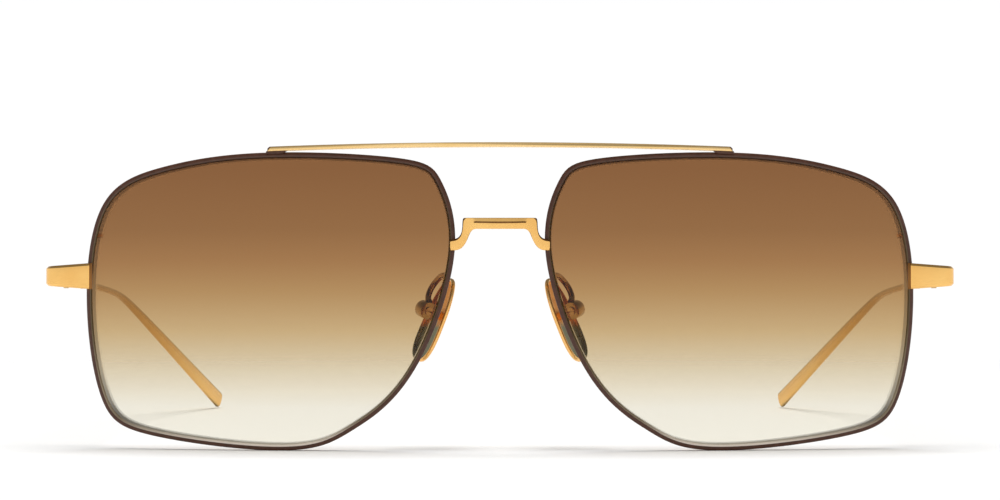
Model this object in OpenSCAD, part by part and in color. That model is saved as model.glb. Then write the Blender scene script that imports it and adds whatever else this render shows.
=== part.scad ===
// Metal aviator sunglasses, temples open, standing on the rims and the temple tips.
// Millimetres. +Z up, the front faces -Y, the temples run towards +Y.
// Origin: on the ground, midway across the width and midway along the depth.
// Left and right are named as seen from the front. Every left piece is a mirrored right one.

/* [Overall] */
// Depth from the front of the lenses to the ends of the temple tips
overall_depth = 138; // [132:1:144]
// Sideways distance from the middle to the outer face of an end piece
half_width = 75.5; // [75:0.1:76]

/* [Lenses and rims] */
// Radius of the ball that the lenses and rims are curved to
curve_radius = 133; // [120:1:160]
// Sideways distance from the middle to the centre of that ball
curve_centre_x = 25.4; // [22:0.2:28]
// Height of the centre of that ball
curve_centre_z = 24; // [22:0.5:26]
// Width of the rim wire seen from the front
rim_width = 0.95; // [0.85:0.05:1.2]
// Depth of the rim wire from front to back
rim_depth = 1.7; // [1.5:0.1:2.2]
// Depth of the groove cut into the inside of the rim for the lens edge
groove_depth = 0.35; // [0.25:0.05:0.4]
// Thickness of a lens
lens_thickness = 1.8; // [1.6:0.1:2]
// Thickness of the lens edge that sits in the groove
lens_edge = 0.6; // [0.4:0.1:0.8]

/* [Bridge and top bar] */
// Depth of the bridge from front to back
bridge_depth = 1.9; // [1.5:0.1:2.4]
// Height of the top bar section
bar_height = 0.75; // [0.6:0.05:0.9]
// Depth of the top bar from front to back
bar_depth = 2; // [1.6:0.1:2.4]
// Radius of the slow arch of the top bar
bar_arch_radius = 970; // [800:10:1200]
// Sideways distance from the middle to an end of the top bar
bar_half_length = 37.8; // [37:0.1:38.5]

/* [End pieces and hinges] */
// Height of the middle of the end pieces and hinges
hinge_z = 28.5; // [28:0.1:29]
// Height of an end piece beside the rim
end_height_rim = 4.3; // [4:0.1:4.8]
// Height of an end piece at its outer end
end_height_tip = 3; // [2.8:0.1:3.4]
// Thickness of the end piece and of the temple behind it
arm_thickness = 1.2; // [1:0.05:1.4]
// Distance from the inner face of the end piece to the hinge axis
hinge_inset = 1.15; // [1.1:0.05:1.3]
// Radius of the hinge knuckles
knuckle_radius = 0.95; // [0.8:0.05:1]
// Radius of the hinge screw and rim-lock screw shanks
screw_radius = 0.45; // [0.35:0.05:0.5]
// Radial running clearance between the hinge screw and the temple knuckle
hinge_clearance = 0.05; // [0.02:0.01:0.08]

/* [Temples] */
// Length along Y from the hinge to the middle of the ear bend
bend_distance = 76; // [70:1:80]
// Outward slope of the straight part of a temple seen from above
splay_slope = 0.027; // [0:0.001:0.04]
// Inward slope of the part behind the ear bend seen from above
toe_slope = 0.31; // [0.25:0.01:0.33]
// Downward slope of the straight part of a temple
fall_slope = 0.042; // [0.03:0.001:0.05]
// Softness of the ear bend
bend_softness = 9; // [6:1:14]
// Height of the slim part of the blade, between hinge and ear bend
blade_height_slim = 1.1; // [1:0.05:1.6]
// Height of the paddle near the temple tip
blade_height_tip = 3.5; // [3:0.1:4]

/* [Nose pads] */
// Height of a nose pad
pad_height = 14.8; // [12:0.2:16]
// Width of a nose pad
pad_width = 7.2; // [6:0.2:7.6]
// Thickness of a nose pad
pad_thickness = 1; // [0.8:0.1:1.2]
// Tilt of a nose pad, top towards the nose
pad_tilt = 23; // [20:1:26]
// Turn of a nose pad, back edge away from the nose
pad_splay = 27; // [20:1:30]
// Distance from the pad face to the axis that the pad rocks about
pad_reach = 2.8; // [2.7:0.1:3.2]

/* [Hidden] */
eps = 0.01;
cut = 1;
outline_steps = 84;
ball_facets = 360;
round_facets = 64;
small_facets = 64;

front_y = -overall_depth / 2;
ball_y = front_y + lens_thickness / 2 + curve_radius;
// One rim outline: control points of a closed cubic B-spline, sideways and upwards,
// starting at the nose side and going round by the bottom.
rim_control = [
    [5.21, 33.82], [13.96, 9.67], [24.64, 2.9], [31.48, -1.25], [60.52, 2.08], [66.29, 5.59],
    [69.16, 23.92], [67.3, 42.86], [56.28, 46.67], [41.01, 49.37], [12.39, 48.02], [9.91, 45.44]
];
lens_gap = 0.02;
shell_reach = 20;

hinge_x = half_width - arm_thickness - hinge_inset;
hinge_y = front_y + 14.6;
knuckle_stack = 3.3;
knuckle_middle = 1.3;
knuckle_gap = 0.04;
butt_gap = 0.05;
screw_fit = 0.01;
screw_head_radius = 0.8;
screw_head_height = 0.35;
screw_slot = 0.2;

temple_x = half_width - arm_thickness / 2;
bend_y = hinge_y + bend_distance;
tip_y = overall_depth / 2;
blade_steps = 40;
neck_length = 14;
paddle_start_y = bend_y - 6;
drop_slope = 0.525;

pad_centre = [10.3, front_y + 8.5, 21.05];
pad_pin_up = 0.95;
pad_lug_radius = 0.9;
pad_lug_half = 0.7;
box_gap = 0.05;
box_cheek = 0.5;
box_cheek_radius = 1.45;
pad_screw_radius = 0.35;
pad_screw_fit = 0.05;
pad_arm_radius = 0.55;

gold = [0.86, 0.66, 0.36];
dark_gold = [0.62, 0.43, 0.2];
enamel = [0.33, 0.23, 0.2];
steel = [0.7, 0.68, 0.62];
tint = [0.68, 0.52, 0.34, 0.6];

// ---------------------------------------------------------------- outline of one rim

// Point at parameter t on the closed spline; t runs over one unit per control point.
function spline_point(t) =
    let (n = len(rim_control), i = floor(t), f = t - i)
    let (a = rim_control[(i + n - 1) % n], b = rim_control[i % n])
    let (c = rim_control[(i + 1) % n], d = rim_control[(i + 2) % n])
    (a * pow(1 - f, 3) + b * (3 * pow(f, 3) - 6 * f * f + 4)
        + c * (3 * f * f + 3 * f + 1 - 3 * pow(f, 3)) + d * pow(f, 3)) / 6;

// Unit vector that points out of the outline at parameter t.
function spline_outward(t) =
    let (n = len(rim_control), step = 0.01)
    let (ahead = spline_point((t + step) % n), behind = spline_point((t + n - step) % n))
    let (along = (ahead - behind) / norm(ahead - behind))
    [along[1], -along[0]];

// The outline moved outwards by shift, as the points of a polygon.
function outline(shift) = [
    for (k = [0 : outline_steps - 1])
        let (t = k * len(rim_control) / outline_steps)
        spline_point(t) + shift * spline_outward(t)
];

// Upright prism through the front, with the outline moved outwards by shift.
module outline_prism(shift) {
    translate([0, front_y + shell_reach, 0])
        rotate([90, 0, 0])
            linear_extrude(height = shell_reach + cut)
                polygon(outline(shift));
}

// Curved sheet of the given thickness that follows the lens curve.
module curved_sheet(thickness) {
    translate([curve_centre_x, ball_y, curve_centre_z])
        difference() {
            sphere(r = curve_radius + thickness / 2, $fn = ball_facets);
            sphere(r = curve_radius - thickness / 2, $fn = ball_facets);
        }
}

// Solid rim band without its groove, used to fit its neighbours against it.
module rim_band() {
    intersection() {
        curved_sheet(rim_depth);
        difference() {
            outline_prism(0);
            outline_prism(-rim_width);
        }
    }
}

module rim() {
    color(enamel)
        difference() {
            rim_band();
            intersection() {
                curved_sheet(lens_edge + 2 * lens_gap);
                outline_prism(groove_depth - rim_width);
            }
            rim_split();
        }
}

// Thin cut through the rim behind the end piece, closed by the rim-lock screw.
module rim_split() {
    split = 0.08;
    translate([half_width - 11, front_y, hinge_z - split / 2])
        cube([8, shell_reach, split]);
}

module lens() {
    color(tint) {
        intersection() {
            curved_sheet(lens_thickness);
            outline_prism(-rim_width - lens_gap);
        }
        intersection() {
            curved_sheet(lens_edge);
            outline_prism(groove_depth - rim_width - lens_gap);
        }
    }
}

// ---------------------------------------------------------------- bridge and top bar

// Right half of the bridge seen from the front.
bridge_half = [
    [6.02, 37.95], [6.12, 37.2], [6.16, 36.3], [6.32, 35.5], [6.62, 34.95],
    [7.0, 34.65], [7.5, 34.52], [8.15, 34.4], [8.15, 32.65], [7.1, 32.65], [6.4, 32.95],
    [5.85, 33.45], [5.4, 34.15], [5.1, 34.95], [4.8, 35.6], [4.5, 36.05], [4.1, 36.15]
];
bridge_outline = concat(bridge_half, [
    for (k = [len(bridge_half) - 1 : -1 : 0]) [-bridge_half[k][0], bridge_half[k][1]]
]);

module bridge() {
    groove_half = 4.4;
    groove_z = 37.2;
    groove_size = 0.22;
    bridge_front = front_y + 0.85;
    color(gold)
        difference() {
            translate([0, bridge_front + bridge_depth, 0])
                rotate([90, 0, 0])
                    linear_extrude(height = bridge_depth)
                        polygon(bridge_outline);
            rim_band();
            mirror([1, 0, 0]) rim_band();
            translate([-groove_half, bridge_front - cut, groove_z - groove_size / 2])
                cube([2 * groove_half, cut + groove_size, groove_size]);
        }
}

bar_top_z = 50.35;
bar_front = front_y + lens_thickness / 2 + 1.25;

module top_bar() {
    color(gold)
        intersection() {
            translate([0, bar_front + bar_depth, bar_top_z - bar_arch_radius])
                rotate([90, 0, 0])
                    linear_extrude(height = bar_depth)
                        difference() {
                            circle(r = bar_arch_radius, $fn = 1440);
                            circle(r = bar_arch_radius - bar_height, $fn = 1440);
                        }
            translate([-bar_half_length, front_y, bar_top_z - 3])
                cube([2 * bar_half_length, shell_reach, 4]);
        }
}

module bar_pad() {
    pad_in = 34.5;
    pad_out = 38.1;
    pad_front = bar_front + 0.25;
    pad_depth = 1.35;
    color(enamel)
        translate([0, pad_front + pad_depth, 0])
            rotate([90, 0, 0])
                linear_extrude(height = pad_depth)
                    polygon([[pad_in, 48.65], [pad_out, 48.45], [pad_out, 48.9], [pad_in, 49.05]]);
}

// ---------------------------------------------------------------- end piece, rim lock, hinge

// Right end piece seen from above, as offsets from the front plane: it laps the rim,
// runs out, turns round a corner and runs back to the hinge.
end_lap_x = half_width - 7.75;
corner_radius = 2.6;

module end_piece_plan() {
    corner_x = half_width - corner_radius;
    corner_y = front_y + 9.7;
    inner_x = half_width - arm_thickness;
    inner_y = front_y + 9.85;
    back_y = hinge_y - butt_gap / 2;
    polygon(concat(
        [[end_lap_x, front_y + 6.15]],
        [for (a = [-90 : 7.5 : 0]) [corner_x, corner_y] + corner_radius * [cos(a), sin(a)]],
        [[half_width, back_y], [inner_x, back_y], [inner_x, inner_y],
            [inner_x - 3, inner_y], [end_lap_x, front_y + 9.05]]
    ));
}

module end_piece() {
    z_rim = end_height_rim / 2;
    z_tip = end_height_tip / 2;
    color(gold)
        difference() {
            intersection() {
                translate([0, 0, hinge_z - end_height_rim])
                    linear_extrude(height = 2 * end_height_rim) end_piece_plan();
                translate([0, front_y + shell_reach, 0])
                    rotate([90, 0, 0])
                        linear_extrude(height = shell_reach)
                            polygon([
                                [end_lap_x, hinge_z - z_rim], [half_width, hinge_z - z_tip],
                                [half_width, hinge_z + z_tip], [end_lap_x, hinge_z + z_rim]
                            ]);
            }
            rim_band();
            lock_space();
        }
}

lock_x = half_width - 7.7;
lock_y = front_y + 8.2;
lock_width = 2.4;
lock_depth = 2.6;
lock_height = 1.7;
lock_gap = 0.08;

// Space taken by the two closing blocks and their screw.
module lock_space() {
    translate([lock_x - cut, lock_y, hinge_z - 3])
        cube([lock_width + cut, 4, 6]);
}

// One closing block, above or below the split, drilled for the rim-lock screw.
module closing_block(side) {
    base_z = side > 0 ? hinge_z + lock_gap / 2 : hinge_z - lock_gap / 2 - lock_height;
    color(dark_gold)
        difference() {
            translate([lock_x, front_y + 7, base_z])
                cube([lock_width, lock_depth + 1.75, lock_height]);
            rim_band();
            translate([lock_x - cut, front_y, base_z - cut])
                cube([lock_width + 2 * cut, lock_y - front_y, lock_height + 2 * cut]);
            translate([lock_x + lock_width / 2, lock_y + lock_depth / 2, base_z - cut])
                cylinder(r = screw_radius + screw_fit, h = lock_height + 2 * cut, $fn = small_facets);
        }
}

// Slotted screw standing on z = 0 with its shank downwards.
module slotted_screw(shank, head, radius, head_radius) {
    difference() {
        union() {
            translate([0, 0, -shank]) cylinder(r = radius, h = shank, $fn = small_facets);
            cylinder(r = head_radius, h = head, $fn = small_facets);
        }
        translate([-head_radius - cut, -screw_slot / 2, head - 0.15])
            cube([2 * (head_radius + cut), screw_slot, cut]);
    }
}

module closing_screw() {
    color(steel)
        translate([lock_x + lock_width / 2, lock_y + lock_depth / 2, hinge_z])
            mirror([0, 0, 1])
                translate([0, 0, lock_height + lock_gap / 2])
                    slotted_screw(2 * lock_height + lock_gap, screw_head_height,
                        screw_radius, screw_head_radius);
}

// Two knuckles, above and below, carried by the end piece.
module hinge_knuckles() {
    leaf_height = (knuckle_stack - knuckle_middle) / 2 - knuckle_gap;
    leaf_length = 2.6;
    color(dark_gold)
        difference() {
            for (base = [hinge_z - knuckle_stack / 2, hinge_z + knuckle_middle / 2 + knuckle_gap])
                translate([hinge_x, hinge_y, base]) {
                    cylinder(r = knuckle_radius, h = leaf_height, $fn = small_facets);
                    translate([0, -leaf_length, 0])
                        cube([hinge_inset, leaf_length - butt_gap / 2, leaf_height]);
                }
            hinge_bore(screw_fit);
        }
}

module hinge_bore(clearance) {
    translate([hinge_x, hinge_y, hinge_z - knuckle_stack])
        cylinder(r = screw_radius + clearance, h = 2 * knuckle_stack, $fn = small_facets);
}

module hinge_screw() {
    tail = 0.35;
    color(steel)
        translate([hinge_x, hinge_y, hinge_z + knuckle_stack / 2])
            slotted_screw(knuckle_stack + tail, screw_head_height, screw_radius, screw_head_radius);
}

// Single knuckle carried by the temple, between the two of the end piece.
module temple_knuckle() {
    leaf_length = 3;
    color(dark_gold)
        difference() {
            translate([hinge_x, hinge_y, hinge_z - knuckle_middle / 2]) {
                cylinder(r = knuckle_radius, h = knuckle_middle, $fn = small_facets);
                translate([0, butt_gap / 2, 0])
                    cube([hinge_inset, leaf_length, knuckle_middle]);
            }
            hinge_bore(hinge_clearance);
        }
}

// ---------------------------------------------------------------- temple

// Distance gained past the ear bend, growing softly from nothing.
function past_bend(y) =
    let (t = y - bend_y)
    (t + sqrt(t * t + bend_softness * bend_softness)) / 2;

bend_start = past_bend(hinge_y);
function temple_side(y) =
    temple_x + splay_slope * (y - hinge_y) - (toe_slope + splay_slope) * (past_bend(y) - bend_start);
function temple_height(y) =
    hinge_z - fall_slope * (y - hinge_y) - (drop_slope - fall_slope) * (past_bend(y) - bend_start);

// Height of the blade: it narrows behind the hinge, stays slim over the ear and widens to a paddle.
function blade_height(y) =
    let (neck = max(0, 1 - (y - hinge_y) / neck_length))
    let (paddle = max(0, (y - paddle_start_y) / (tip_y - paddle_start_y)))
    blade_height_slim + (end_height_tip - blade_height_slim) * neck * neck * (3 - 2 * neck)
        + (blade_height_tip - blade_height_slim) * paddle;

blade_start = hinge_y + butt_gap / 2;
blade_length = tip_y - blade_start;
function blade_y(k) = blade_start + blade_length * (k < 0 ? 0 : k) / blade_steps;

// Raises both temples so that the lowest point of each tip stands on the ground.
tip_lean = 1 / sqrt(1 + drop_slope * drop_slope);
tip_cut = blade_height_tip * drop_slope * tip_lean;

function blade_edge(y, side) =
    temple_height(y) + side * blade_height(y) / 2 / tip_lean * edge_share(y)
        + side * blade_height(y) / 2 * (1 - edge_share(y));
function edge_share(y) = min(1, past_bend(y) / 12);

ground_shift = -(blade_edge(tip_y - tip_cut, -1));

module temple() {
    half = arm_thickness / 2;
    color(gold)
        intersection() {
            // seen from the side
            translate([half_width - 30, 0, 0])
                rotate([90, 0, 90])
                    linear_extrude(height = 40)
                        polygon(concat(
                            [for (k = [0 : blade_steps])
                                let (y = min(blade_y(k), tip_y - tip_cut))
                                [y, settled(y, blade_edge(y, -1))]],
                            [[tip_y, settled(tip_y, blade_edge(tip_y, 1)) ]],
                            [for (k = [blade_steps - 1 : -1 : 0])
                                let (y = blade_y(k)) [y, settled(y, blade_edge(y, 1))]]
                        ));
            // seen from above
            translate([0, 0, -cut])
                linear_extrude(height = 40)
                    polygon(concat(
                        [for (k = [0 : blade_steps])
                            let (y = blade_y(k)) [temple_side(y) + half, y]],
                        [for (k = [blade_steps : -1 : 0])
                            let (y = blade_y(k)) [temple_side(y) - half, y]]
                    ));
        }
}

// Spreads the small ground correction along the temple, nothing at the hinge.
function settled(y, z) = z + ground_shift * (y - blade_start) / (tip_y - tip_cut - blade_start);

// ---------------------------------------------------------------- nose pads

module at_pad() {
    translate(pad_centre) rotate([0, -pad_tilt, 0]) rotate([0, 0, -pad_splay]) children();
}

// Rounded pad outline, fuller below than above; first coordinate runs across the pad.
function pad_outline(shrink) = [
    for (a = [0 : 10 : 350])
        let (c = cos(a), s = sin(a), power = 0.8)
        [(pad_width / 2 - shrink) * sign(c) * pow(abs(c), power) * (1 - 0.25 * s),
            (pad_height / 2 - shrink) * sign(s) * pow(abs(s), power)]
];

module nose_pad() {
    lip = 0.6;
    floor_thickness = 0.45;
    stem_width = 1;
    color(gold)
        at_pad()
            difference() {
                union() {
                    difference() {
                        pad_slab(0, 0, pad_thickness);
                        pad_slab(lip, floor_thickness, pad_thickness);
                    }
                    translate([floor_thickness - eps, -pad_lug_half, pad_pin_up - stem_width / 2])
                        cube([pad_reach - floor_thickness, 2 * pad_lug_half, stem_width]);
                    pad_pin(pad_lug_radius, -pad_lug_half, pad_lug_half);
                }
                pad_pin(pad_screw_radius + pad_screw_fit, -pad_reach, pad_reach);
            }
}

// Slab of the pad outline; from and thickness are measured away from the nose.
module pad_slab(shrink, from, thickness) {
    translate([from, 0, 0])
        rotate([90, 0, 90])
            linear_extrude(height = thickness) polygon(pad_outline(shrink));
}

// Round bar on the rocking axis, in pad coordinates.
module pad_pin(radius, from, to) {
    translate([pad_reach, from, pad_pin_up])
        rotate([-90, 0, 0]) cylinder(r = radius, h = to - from, $fn = small_facets);
}

box_inner = pad_lug_half + box_gap;
box_web_inner = 1;
box_mouth = 0.55;

// Round box that holds the pad's lug: two cheeks and a web, open towards the pad.
module pad_box() {
    half = box_inner + box_cheek;
    color(gold)
        at_pad()
            difference() {
                pad_pin(box_cheek_radius, -half, half);
                pad_pin(box_web_inner, -box_inner, box_inner);
                translate([pad_reach - 3, -box_inner, pad_pin_up - 3])
                    cube([3 - box_mouth, 2 * box_inner, 6]);
                pad_pin(pad_screw_radius + screw_fit, -pad_reach, pad_reach);
            }
}

module pad_screw() {
    head = 0.3;
    reach = box_inner + box_cheek;
    color(steel)
        at_pad()
            translate([pad_reach, -reach, pad_pin_up])
                rotate([90, 0, 0])
                    slotted_screw(2 * reach, head, pad_screw_radius, 0.75);
}

// Wire from the back of the rim, back behind the pad's top and forwards onto the pad box.
arm_path = [
    [8.2, front_y + 2.85, 28.6], [9.0, front_y + 4.7, 28.6], [9.8, front_y + 6.8, 28.4],
    [10.7, front_y + 8.3, 27.5], [11.5, front_y + 8.7, 26.3], [11.9, front_y + 8.2, 25.1],
    [11.8, front_y + 7.45, 24.2]
];
arm_sides = 10;
arm_rings = 24;

// Smooth curve through the points of the arm path; t runs over one unit per point.
function arm_point(t) =
    let (last = len(arm_path) - 1, i = min(floor(t), last - 1), f = t - i)
    let (b = arm_path[i], c = arm_path[i + 1])
    let (a = i > 0 ? arm_path[i - 1] : 2 * b - c, d = i < last - 1 ? arm_path[i + 2] : 2 * c - b)
    (2 * b + (c - a) * f + (2 * a - 5 * b + 4 * c - d) * f * f
        + (3 * b - a - 3 * c + d) * f * f * f) / 2;

function unit(v) = v / norm(v);

// One ring of points round the wire, square to its direction.
function arm_ring(t) =
    let (step = 0.01, last = len(arm_path) - 1)
    let (along = unit(arm_point(min(t + step, last)) - arm_point(max(t - step, 0))))
    let (side = unit(cross(along, [0.3, 0.2, 1])), up = cross(side, along))
    [for (k = [0 : arm_sides - 1])
        let (a = 360 * k / arm_sides)
        arm_point(t) + pad_arm_radius * (cos(a) * side + sin(a) * up)];

module pad_arm() {
    last = len(arm_path) - 1;
    points = [for (r = [0 : arm_rings]) each arm_ring(last * r / arm_rings)];
    top = arm_rings * arm_sides;
    color(gold)
        polyhedron(points = points, faces = concat(
            [[for (k = [arm_sides - 1 : -1 : 0]) k]],
            [[for (k = [0 : arm_sides - 1]) top + k]],
            [for (r = [0 : arm_rings - 1], k = [0 : arm_sides - 1])
                let (n = (k + 1) % arm_sides, base = r * arm_sides)
                [base + k, base + n, base + n + arm_sides, base + k + arm_sides]]
        ));
}

// ---------------------------------------------------------------- drawing

module left() {
    mirror([1, 0, 0]) children();
}

left() rim();  // rim_left
rim();  // rim_right
left() lens();  // lens_left
lens();  // lens_right
bridge();
top_bar();
left() bar_pad();  // bar_pad_left
bar_pad();  // bar_pad_right
left() end_piece();  // end_piece_left
end_piece();  // end_piece_right
left() closing_block(1);  // closing_block_upper_left
closing_block(1);  // closing_block_upper_right
left() closing_block(-1);  // closing_block_lower_left
closing_block(-1);  // closing_block_lower_right
left() closing_screw();  // closing_screw_left
closing_screw();  // closing_screw_right
left() hinge_knuckles();  // hinge_knuckles_left
hinge_knuckles();  // hinge_knuckles_right
left() hinge_screw();  // hinge_screw_left
hinge_screw();  // hinge_screw_right
left() temple_knuckle();  // temple_knuckle_left
temple_knuckle();  // temple_knuckle_right
left() temple();  // temple_left
temple();  // temple_right
left() pad_arm();  // pad_arm_left
pad_arm();  // pad_arm_right
left() pad_box();  // pad_box_left
pad_box();  // pad_box_right
left() pad_screw();  // pad_screw_left
pad_screw();  // pad_screw_right
left() nose_pad();  // nose_pad_left
nose_pad();  // nose_pad_right
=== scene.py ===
import math
from contextlib import contextmanager

import bpy
from mathutils import Matrix, Vector


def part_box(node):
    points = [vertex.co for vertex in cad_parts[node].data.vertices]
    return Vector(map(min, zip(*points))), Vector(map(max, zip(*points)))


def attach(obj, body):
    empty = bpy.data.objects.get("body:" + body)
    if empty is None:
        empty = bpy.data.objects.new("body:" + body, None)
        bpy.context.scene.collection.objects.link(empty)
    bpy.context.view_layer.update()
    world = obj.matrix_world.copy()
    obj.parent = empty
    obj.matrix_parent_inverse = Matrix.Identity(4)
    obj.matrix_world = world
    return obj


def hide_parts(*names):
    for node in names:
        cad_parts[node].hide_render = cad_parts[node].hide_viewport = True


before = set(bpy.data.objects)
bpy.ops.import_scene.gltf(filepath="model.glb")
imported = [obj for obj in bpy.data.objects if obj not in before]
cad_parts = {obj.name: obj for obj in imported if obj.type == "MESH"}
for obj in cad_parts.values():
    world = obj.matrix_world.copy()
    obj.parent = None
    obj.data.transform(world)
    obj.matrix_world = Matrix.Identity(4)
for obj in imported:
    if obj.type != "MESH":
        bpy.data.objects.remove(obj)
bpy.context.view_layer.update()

MM = 0.001

# ---------------------------------------------------------------- shared measures, in millimetres

lens_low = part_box("lens_right")[0] / MM
bridge_low, bridge_high = (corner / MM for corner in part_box("bridge"))
bar_low, bar_high = (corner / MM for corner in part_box("top_bar"))
end_low, end_high = (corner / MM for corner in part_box("end_piece_right"))
temple_low, temple_high = (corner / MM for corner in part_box("temple_right"))

FRONT_Y = lens_low.y
CURVE_RADIUS = 133.0
CURVE_X = 25.4
CURVE_Z = 24.0
LENS_THICKNESS = 1.8
RIM_WIDTH = 0.95
RIM_STEPS = 240
OUTLINE_LIFT = 0.6
RIM_CONTROL = [
    (5.21, 33.82), (13.96, 9.67), (24.64, 2.9), (31.48, -1.25), (60.52, 2.08), (66.29, 5.59),
    (69.16, 23.92), (67.3, 42.86), (56.28, 46.67), (41.01, 49.37), (12.39, 48.02), (9.91, 45.44),
]


def spline_point(t):
    """Point on the closed rim outline, sideways and upwards; t counts control points."""
    n = len(RIM_CONTROL)
    i = math.floor(t)
    f = t - i
    a, b, c, d = (Vector(RIM_CONTROL[(i + k) % n]) for k in (-1, 0, 1, 2))
    return (a * (1 - f) ** 3 + b * (3 * f ** 3 - 6 * f * f + 4)
            + c * (3 * f * f + 3 * f + 1 - 3 * f ** 3) + d * f ** 3) / 6


def outline_stations(steps):
    """Even steps round the rim outline: each point with its outward direction."""
    fine = steps * 8
    n = len(RIM_CONTROL)
    points = [spline_point(n * k / fine) for k in range(fine)]
    lengths = [0.0]
    for k in range(fine):
        lengths.append(lengths[-1] + (points[(k + 1) % fine] - points[k]).length)
    stations = []
    k = 0
    for s in range(steps):
        goal = lengths[-1] * s / steps
        while lengths[k + 1] < goal:
            k += 1
        part = (goal - lengths[k]) / (lengths[k + 1] - lengths[k])
        t = n * (k + part) / fine
        along = (spline_point(t + 0.01) - spline_point(t - 0.01)).normalized()
        stations.append((spline_point(t), Vector((along.y, -along.x))))
    return stations


STATIONS = outline_stations(RIM_STEPS)


def curve_depth(x, z):
    """How far behind the front plane the middle of the lens sheet lies."""
    across = (x - CURVE_X) ** 2 + (z - CURVE_Z) ** 2
    return LENS_THICKNESS / 2 + CURVE_RADIUS - math.sqrt(CURVE_RADIUS ** 2 - across)


def on_curve(x, z, lift=0.0):
    """Point on the lens sheet, lifted along its own normal; a lift below zero is forwards.
    The outline is met near the front of the rim, so the rest leans in behind it."""
    middle = Vector((x, FRONT_Y + curve_depth(x, z), z))
    centre = Vector((CURVE_X, FRONT_Y + LENS_THICKNESS / 2 + CURVE_RADIUS, CURVE_Z))
    inward = (centre - middle).normalized()
    return middle + inward * lift + Vector((inward.x, 0, inward.z)) * OUTLINE_LIFT


# ---------------------------------------------------------------- modelling helpers

def deselect():
    if bpy.context.mode != "OBJECT":
        bpy.ops.object.mode_set(mode="OBJECT")
    bpy.ops.object.select_all(action="DESELECT")


def make_active(piece):
    deselect()
    piece.select_set(True)
    bpy.context.view_layer.objects.active = piece


@contextmanager
def editing(piece, select="FACE", everything=True):
    """Edit mode on one piece, with all of it or none of it selected."""
    make_active(piece)
    bpy.ops.object.mode_set(mode="EDIT")
    bpy.ops.mesh.select_mode(type=select)
    if everything is not None:
        bpy.ops.mesh.select_all(action="SELECT" if everything else "DESELECT")
    yield
    bpy.ops.object.mode_set(mode="OBJECT")


def pick_edges(piece, test):
    """Selects the edges whose middle passes the test, in millimetres."""
    for item in (*piece.data.vertices, *piece.data.polygons):
        item.select = False
    points = piece.data.vertices
    for edge in piece.data.edges:
        a, b = (points[v].co / MM for v in edge.vertices)
        edge.select = bool(test((a + b) / 2, b - a))


def named(piece_name):
    piece = bpy.context.object
    piece.name = piece_name
    piece.data.name = piece_name
    bpy.ops.object.transform_apply(location=True, rotation=True, scale=True)
    return piece


def place_points(piece, points):
    """Moves the primitive's points to their places, given in millimetres."""
    assert len(points) == len(piece.data.vertices), (piece.name, len(points))
    flat = [value * MM for point in points for value in point]
    piece.data.vertices.foreach_set("co", flat)
    piece.data.update()


def face_outwards(piece):
    with editing(piece):
        bpy.ops.mesh.normals_make_consistent(inside=False)


def apply_modifier(piece, kind, **settings):
    make_active(piece)
    modifier = piece.modifiers.new(kind.title(), kind)
    for key, value in settings.items():
        setattr(modifier, key, value)
    bpy.ops.object.modifier_apply(modifier=modifier.name)


def soften(piece, width, segments=3, angle=35):
    """Rounds every sharp edge and smooths the shading of the faces between."""
    apply_modifier(piece, "BEVEL", width=width * MM, segments=segments, limit_method="ANGLE",
                   angle_limit=math.radians(angle), miter_outer="MITER_ARC", harden_normals=False)
    smooth(piece)


def smooth(piece, angle=30):
    make_active(piece)
    bpy.ops.object.shade_smooth_by_angle(angle=math.radians(angle))


def plate(piece_name, outline, place, sweep):
    """Flat outline drawn as a filled ring, then extruded along sweep, in millimetres."""
    deselect()
    bpy.ops.mesh.primitive_circle_add(vertices=len(outline), radius=MM, fill_type="NGON")
    piece = named(piece_name)
    place_points(piece, [place(*point) for point in outline])
    with editing(piece):
        bpy.ops.mesh.extrude_region_move(
            TRANSFORM_OT_translate={"value": Vector(sweep) * MM})
        bpy.ops.mesh.select_all(action="SELECT")
        bpy.ops.mesh.normals_make_consistent(inside=False)
    return piece


def closed_sweep(piece_name, rings):
    """Ring-shaped tube: a torus with its points moved onto the given closed rings."""
    deselect()
    bpy.ops.mesh.primitive_torus_add(major_segments=len(rings), minor_segments=len(rings[0]),
                                     major_radius=10 * MM, minor_radius=MM)
    piece = named(piece_name)
    place_points(piece, [point for ring in rings for point in ring])
    face_outwards(piece)
    return piece


def open_sweep(piece_name, rings):
    """Bar with closed ends: a filled circle extruded once per ring, then moved onto the rings."""
    deselect()
    sides = len(rings[0])
    bpy.ops.mesh.primitive_circle_add(vertices=sides, radius=MM, fill_type="NGON")
    piece = named(piece_name)
    with editing(piece):
        for _ in rings[1:]:
            bpy.ops.mesh.extrude_region_move(TRANSFORM_OT_translate={"value": (0, 0, MM)})
    points = []
    for vertex in piece.data.vertices:
        x, y, z = vertex.co / MM
        side = round(math.atan2(y, x) / math.tau * sides) % sides
        points.append(rings[round(z)][side])
    place_points(piece, points)
    face_outwards(piece)
    return piece


def closed_shell(piece_name, segments, profile, place):
    """Closed form with two poles: a ball whose rings take the profile and whose turns take place."""
    deselect()
    rings = len(profile) - 1
    bpy.ops.mesh.primitive_uv_sphere_add(segments=segments, ring_count=rings, radius=MM)
    piece = named(piece_name)
    points = []
    for vertex in piece.data.vertices:
        x, y, z = vertex.co / MM
        ring = round(math.acos(max(-1, min(1, z))) / math.pi * rings)
        points.append(place(math.degrees(math.atan2(y, x)), *profile[ring]))
    place_points(piece, points)
    face_outwards(piece)
    return piece


def bisect_away(piece, point, outward):
    """Cuts off what lies beyond a plane and closes the cut."""
    with editing(piece):
        bpy.ops.mesh.bisect(plane_co=Vector(point) * MM, plane_no=Vector(outward),
                            use_fill=True, clear_outer=True)


def copy_of(piece, piece_name):
    twin = piece.copy()
    twin.data = piece.data.copy()
    twin.name = piece_name
    twin.data.name = piece_name
    bpy.context.collection.objects.link(twin)
    return twin


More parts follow.
